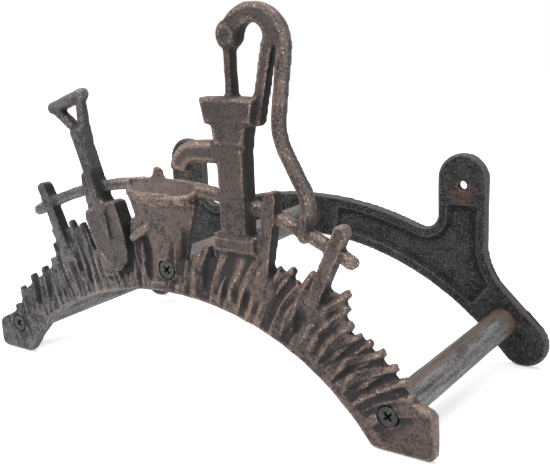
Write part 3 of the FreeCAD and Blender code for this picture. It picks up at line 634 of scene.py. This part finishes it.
def screw_axes(node):
    """Centres of a node's screws in X and Z."""
    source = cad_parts[node]
    places = np.array([source.matrix_world @ v.co for v in source.data.vertices])
    order = np.argsort(places[:, 0])
    screws = [places[part][:, [0, 2]] for part in np.array_split(order, SCREW_COUNT)]
    return [(s.min(0) + s.max(0)) / 2 for s in screws]


def clear_pockets(piece, screws, face):
    """Keeps a narrow ring open round each screw head; returns 1 for the points in and beside the rings,
    which get painted shadow.
    """
    points = points_of(piece.data)
    ring = np.zeros(len(points))
    for centre in screw_axes(screws):
        across = points[:, [0, 2]] - centre
        reach = np.hypot(*across.T)
        level = np.abs(points[:, 1] - face) < POCKET_DEPTH
        # The ring marks the gap round a head, which gets painted shadow.
        ring[level & (reach < RING_SHADE_EDGE)] = 1
        inside = level & (reach < SCREW_POCKET)
        grow = SCREW_POCKET / np.maximum(reach[inside], MM)
        points[np.ix_(inside, [0, 2])] = centre + across[inside] * grow[:, None]
    set_points(piece.data, points)
    return ring


def mark_front(piece):
    """Stores where the front casting lies deep, where it faces right or up and where its figures are; these
    set painted shade in the hollows, painted shadow on covered sides and painted highlight on tops.
    """
    mesh = piece.data
    ring = clear_pockets(piece, "front_screws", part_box("front_screws")[0][1])
    points = points_of(mesh)
    deep, share = front_depths(points, front_back(), FRONT_CELLS)
    amid = HOLLOW_LEAST + (1 - HOLLOW_LEAST) * smooth_step(share, *HOLLOW_AMID)
    hollow_dark_and_shade = np.maximum(np.clip(deep / FRONT_HOLLOW, 0, 1) * amid, GROOVE_SHADE * leaf_grooves(points))
    figure = smooth_step(front_back() - points[:, 1], *FIGURE_DEPTH)
    hollow_dark_and_shade *= (1 - FIGURE_LESS * figure) * (1 - LIP_LESS * bucket_lip(points))
    rise, turn = around_arch(points)
    figure = np.maximum(figure, smooth_step(rise, *FIGURE_RISE))
    figure += PUMP_MORE * smooth_step(rise, *PUMP_RISE)
    figure = np.maximum(figure, FOOT_SHADE * smooth_step(np.abs(turn), *FOOT_ANGLE))
    normals = normals_of(mesh)
    # Hollows and the open rings round the screws: painted shade, over the iron's own dark in the hollows.
    store(mesh, "hollow_dark_and_shade", np.maximum(hollow_dark_and_shade, ring))
    # Right-facing sides get grey with painted shade; the next mark is painted shadow where parts to the
    # right block the light.
    store(mesh, "side", smooth_step(normals[:, 0], *SIDE_SHADE_FACING))
    store(mesh, "side_shadow", covered_from_right(points))
    # Tops: painted highlight on faces that look up.
    store(mesh, "top", smooth_step(normals[:, 2], *TOP_HIGHLIGHT_FACING))
    store(mesh, "figure", figure * (1 - bucket_area(points)))


def mark_wall(piece):
    """Stores the painted shade of the wall plate's hollows, and the rust round its ear holes and the bars'
    ends.
    """
    ring = clear_pockets(piece, "rear_screws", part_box("rear_screws")[1][1])
    points = points_of(piece.data)
    deep = front_depths(points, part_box("wall_plate")[1][1], WALL_CELLS)[0]
    shallow, full = WALL_HOLLOW
    store(piece.data, "hollow_dark_and_shade", np.maximum(np.clip((deep - shallow) / (full - shallow), 0, 1), ring))
    ear = np.hypot(np.abs(points[:, 0]) - EAR_HOLE_X, points[:, 2] + RUST_DROP)
    rust = smooth_step(ear, *EAR_RUST)
    for centre in screw_axes("rear_screws"):
        away = np.hypot(*(points[:, [0, 2]] - centre).T)
        rust = np.maximum(rust, SEAT_SHADE * smooth_step(away, *SEAT_RUST))
    store(piece.data, "rust", rust)


def mark_bar(piece):
    """Stores the brown line along the top of a bar and the brown of its end at the wall."""
    line = smooth_step(normals_of(piece.data)[:, 2], *LINE_FACING)
    end = smooth_step(points_of(piece.data)[:, 1], *BAR_END)
    store(piece.data, "rust", np.maximum(LINE_SHADE * line, end))


def give_material(piece, material):
    piece.data.materials.clear()
    piece.data.materials.append(material)


def add_piece(piece, node, material):
    give_material(piece, material)
    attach(piece, "root")
    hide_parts(node)


def build_castings():
    front = cast_piece("front_plate", **FRONT_SKIN, carve=carve_front)
    mark_front(front)
    add_piece(front, "front_plate", front_iron())
    wall = cast_piece("wall_plate", **WALL_SKIN)
    mark_wall(wall)
    add_piece(wall, "wall_plate", wall_iron())
    bar_material = bar_iron()
    for node in ("left_bar", "centre_bar", "right_bar"):
        bar = cast_piece(node, **BAR_SKIN)
        mark_bar(bar)
        add_piece(bar, node, bar_material)


def dress_screws():
    """The screws keep their CAD meshes and only get their material."""
    steel = screw_steel()
    for node in ("front_screws", "rear_screws"):
        give_material(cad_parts[node], steel)


def seen_directly(start):
    """1 for what the camera sees, also in metal or glass, and 0 for light that falls on things."""
    path = start.node("ShaderNodeLightPath", {}, {})
    rays = ("Is Camera Ray", "Is Glossy Ray", "Is Transmission Ray")
    camera, glossy, through = (start.out(path, name) for name in rays)
    return (camera + glossy + through).between(0.0, 1.0)


def floor_white():
    """White floor; the camera sees it a little brighter, and more so far out, so only shadows show."""
    material = bpy.data.materials.new("floor_white")
    material.use_nodes = True
    tree = material.node_tree
    start = Value(tree)
    place = start.out(start.node("ShaderNodeTexCoord", {}, {}), "Object")
    away = start.out(start.node("ShaderNodeVectorMath", {"operation": "LENGTH"}, {0: place}), "Value")
    glow = FLOOR_NEAR_GLOW + (1 - FLOOR_NEAR_GLOW) * away.between(*FLOOR_FAR)
    bright = seen_directly(start) * glow
    start.feed(first_node(tree, "BSDF_PRINCIPLED"), {
        "Base Color": FLOOR_WHITE, "Roughness": 0.9, "Specular IOR Level": 0.2,
        "Emission Color": bright.mix(BLACK, WHITE), "Emission Strength": FLOOR_GLOW,
    })
    return material


def build_floor():
    """A white floor that touches the four lower ends of the hanger, so it slopes a little."""
    front_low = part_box("front_plate")[0]
    wall_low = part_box("wall_plate")[0]
    slope = math.atan2(front_low[2] - wall_low[2], -front_low[1])
    bpy.ops.mesh.primitive_plane_add(size=FLOOR_SIZE)
    floor = bpy.context.object
    floor.name = "floor"
    floor.rotation_euler = (-slope, 0, 0)
    floor.location = (0, 0, wall_low[2] - FLOOR_GAP)
    floor.data.materials.append(floor_white())


def add_lamp(name, place, size, power, color):
    data = bpy.data.lights.new(name, "AREA")
    data.shape = "RECTANGLE"
    data.size, data.size_y = size
    data.energy = power
    data.color = color
    lamp = bpy.data.objects.new(name, data)
    lamp.location = place
    lamp.rotation_euler = (LAMP_AIM - Vector(place)).to_track_quat("-Z", "Y").to_euler()
    bpy.context.scene.collection.objects.link(lamp)


def build_lights():
    """Three soft lamps, and a sky that is white to the camera and lights the hanger faintly."""
    add_lamp("key", place=(-0.7, -1.2, 1.1), size=(0.9, 0.9), power=26, color=WARM_LIGHT)
    add_lamp("top", place=(0.1, 0.2, 1.4), size=(1.4, 1.0), power=16, color=WHITE_LIGHT)
    add_lamp("side", place=(1.5, -0.6, 0.5), size=(0.7, 0.9), power=5, color=WHITE_LIGHT)
    world = bpy.data.worlds.new("studio")
    bpy.context.scene.world = world
    world.use_nodes = True
    start = Value(world.node_tree)
    strength = seen_directly(start) * (1 - SKY_LIGHT) + SKY_LIGHT
    start.feed(first_node(world.node_tree, "BACKGROUND"), {"Color": WHITE, "Strength": strength})


def build_camera():
    turn, lift, roll = (math.radians(a) for a in (CAMERA_AZIMUTH, CAMERA_ELEVATION, CAMERA_ROLL))
    ahead = Vector((-math.sin(turn) * math.cos(lift), math.cos(turn) * math.cos(lift), -math.sin(lift)))
    level = Vector((math.cos(turn), math.sin(turn), 0))
    upright = level.cross(ahead)
    right = level * math.cos(roll) + upright * math.sin(roll)
    up = upright * math.cos(roll) - level * math.sin(roll)
    data = bpy.data.cameras.new("camera")
    data.lens = CAMERA_LENS
    data.shift_x, data.shift_y = CAMERA_SHIFT
    data.clip_start = CAMERA_NEAR
    camera = bpy.data.objects.new("camera", data)
    axes = Matrix((right, up, -ahead)).transposed()
    camera.matrix_world = Matrix.Translation(CAMERA_PLACE) @ axes.to_4x4()
    bpy.context.scene.collection.objects.link(camera)
    bpy.context.scene.camera = camera


bpy.context.scene.view_settings.view_transform = "Standard"
build_castings()
dress_screws()
build_floor()
build_lights()
build_camera()
